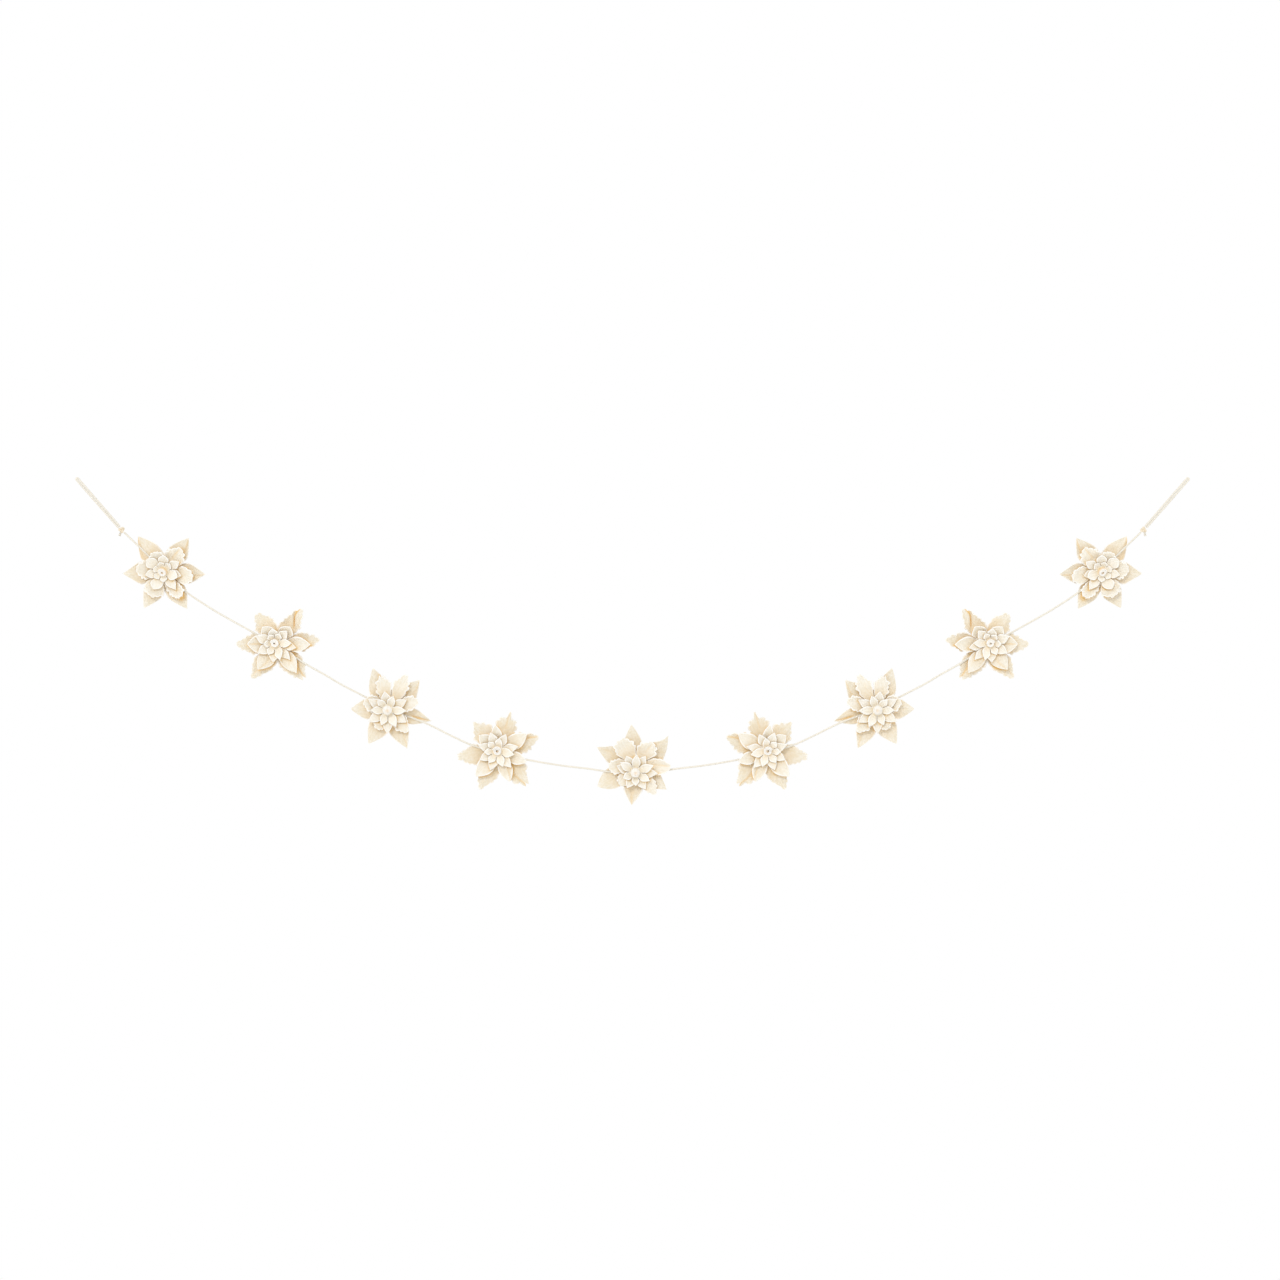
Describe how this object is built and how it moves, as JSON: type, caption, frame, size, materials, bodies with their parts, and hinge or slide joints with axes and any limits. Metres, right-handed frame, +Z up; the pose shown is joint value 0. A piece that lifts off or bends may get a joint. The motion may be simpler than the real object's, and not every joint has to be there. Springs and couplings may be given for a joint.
{
  "type": "felt poinsettia garland",
  "caption": "Layered felt poinsettia flowers strung on one cord that hangs in a low curve from a loop at each end.",
  "frame": {"origin": "the tip of the left hang loop, on the cord's centreline", "axes": "+X along the garland's span to the right hang loop, +Z up, -Y the way the flowers face"},
  "size_m": [1.5478, 0.0315, 0.4559],
  "materials": {
    "outer_felt": "matte wool felt",
    "middle_felt": "matte wool felt",
    "inner_felt": "matte wool felt",
    "small_felt": "matte wool felt",
    "wool_centre": "matte felted wool",
    "cotton_cord": "matte twisted cotton"
  },
  "bodies": {
    "root": {"flower_1_outer_petals": "outer_felt", "flower_1_middle_petals": "middle_felt", "flower_1_inner_petals": "inner_felt", "flower_1_small_petals": "small_felt", "flower_1_button": "wool_centre", "flower_2_outer_petals": "outer_felt", "flower_2_middle_petals": "middle_felt", "flower_2_inner_petals": "inner_felt", "flower_2_small_petals": "small_felt", "flower_2_button": "wool_centre", "flower_3_outer_petals": "outer_felt", "flower_3_middle_petals": "middle_felt", "flower_3_inner_petals": "inner_felt", "flower_3_small_petals": "small_felt", "flower_3_ball": "wool_centre", "flower_4_outer_petals": "outer_felt", "flower_4_middle_petals": "middle_felt", "flower_4_inner_petals": "inner_felt", "flower_4_small_petals": "small_felt", "flower_4_button": "wool_centre", "flower_5_outer_petals": "outer_felt", "flower_5_middle_petals": "middle_felt", "flower_5_inner_petals": "inner_felt", "flower_5_small_petals": "small_felt", "flower_5_ball": "wool_centre", "flower_6_outer_petals": "outer_felt", "flower_6_middle_petals": "middle_felt", "flower_6_inner_petals": "inner_felt", "flower_6_small_petals": "small_felt", "flower_6_button": "wool_centre", "flower_7_outer_petals": "outer_felt", "flower_7_middle_petals": "middle_felt", "flower_7_inner_petals": "inner_felt", "flower_7_small_petals": "small_felt", "flower_7_ball": "wool_centre", "flower_8_outer_petals": "outer_felt", "flower_8_middle_petals": "middle_felt", "flower_8_inner_petals": "inner_felt", "flower_8_small_petals": "small_felt", "flower_8_button": "wool_centre", "flower_9_outer_petals": "outer_felt", "flower_9_middle_petals": "middle_felt", "flower_9_inner_petals": "inner_felt", "flower_9_small_petals": "small_felt", "flower_9_button": "wool_centre", "main_cord": "cotton_cord", "left_hang_loop": "cotton_cord", "left_knot": "cotton_cord", "left_cord_tail": "cotton_cord", "right_hang_loop": "cotton_cord", "right_knot": "cotton_cord", "right_cord_tail": "cotton_cord"}
  },
  "joints": []
}
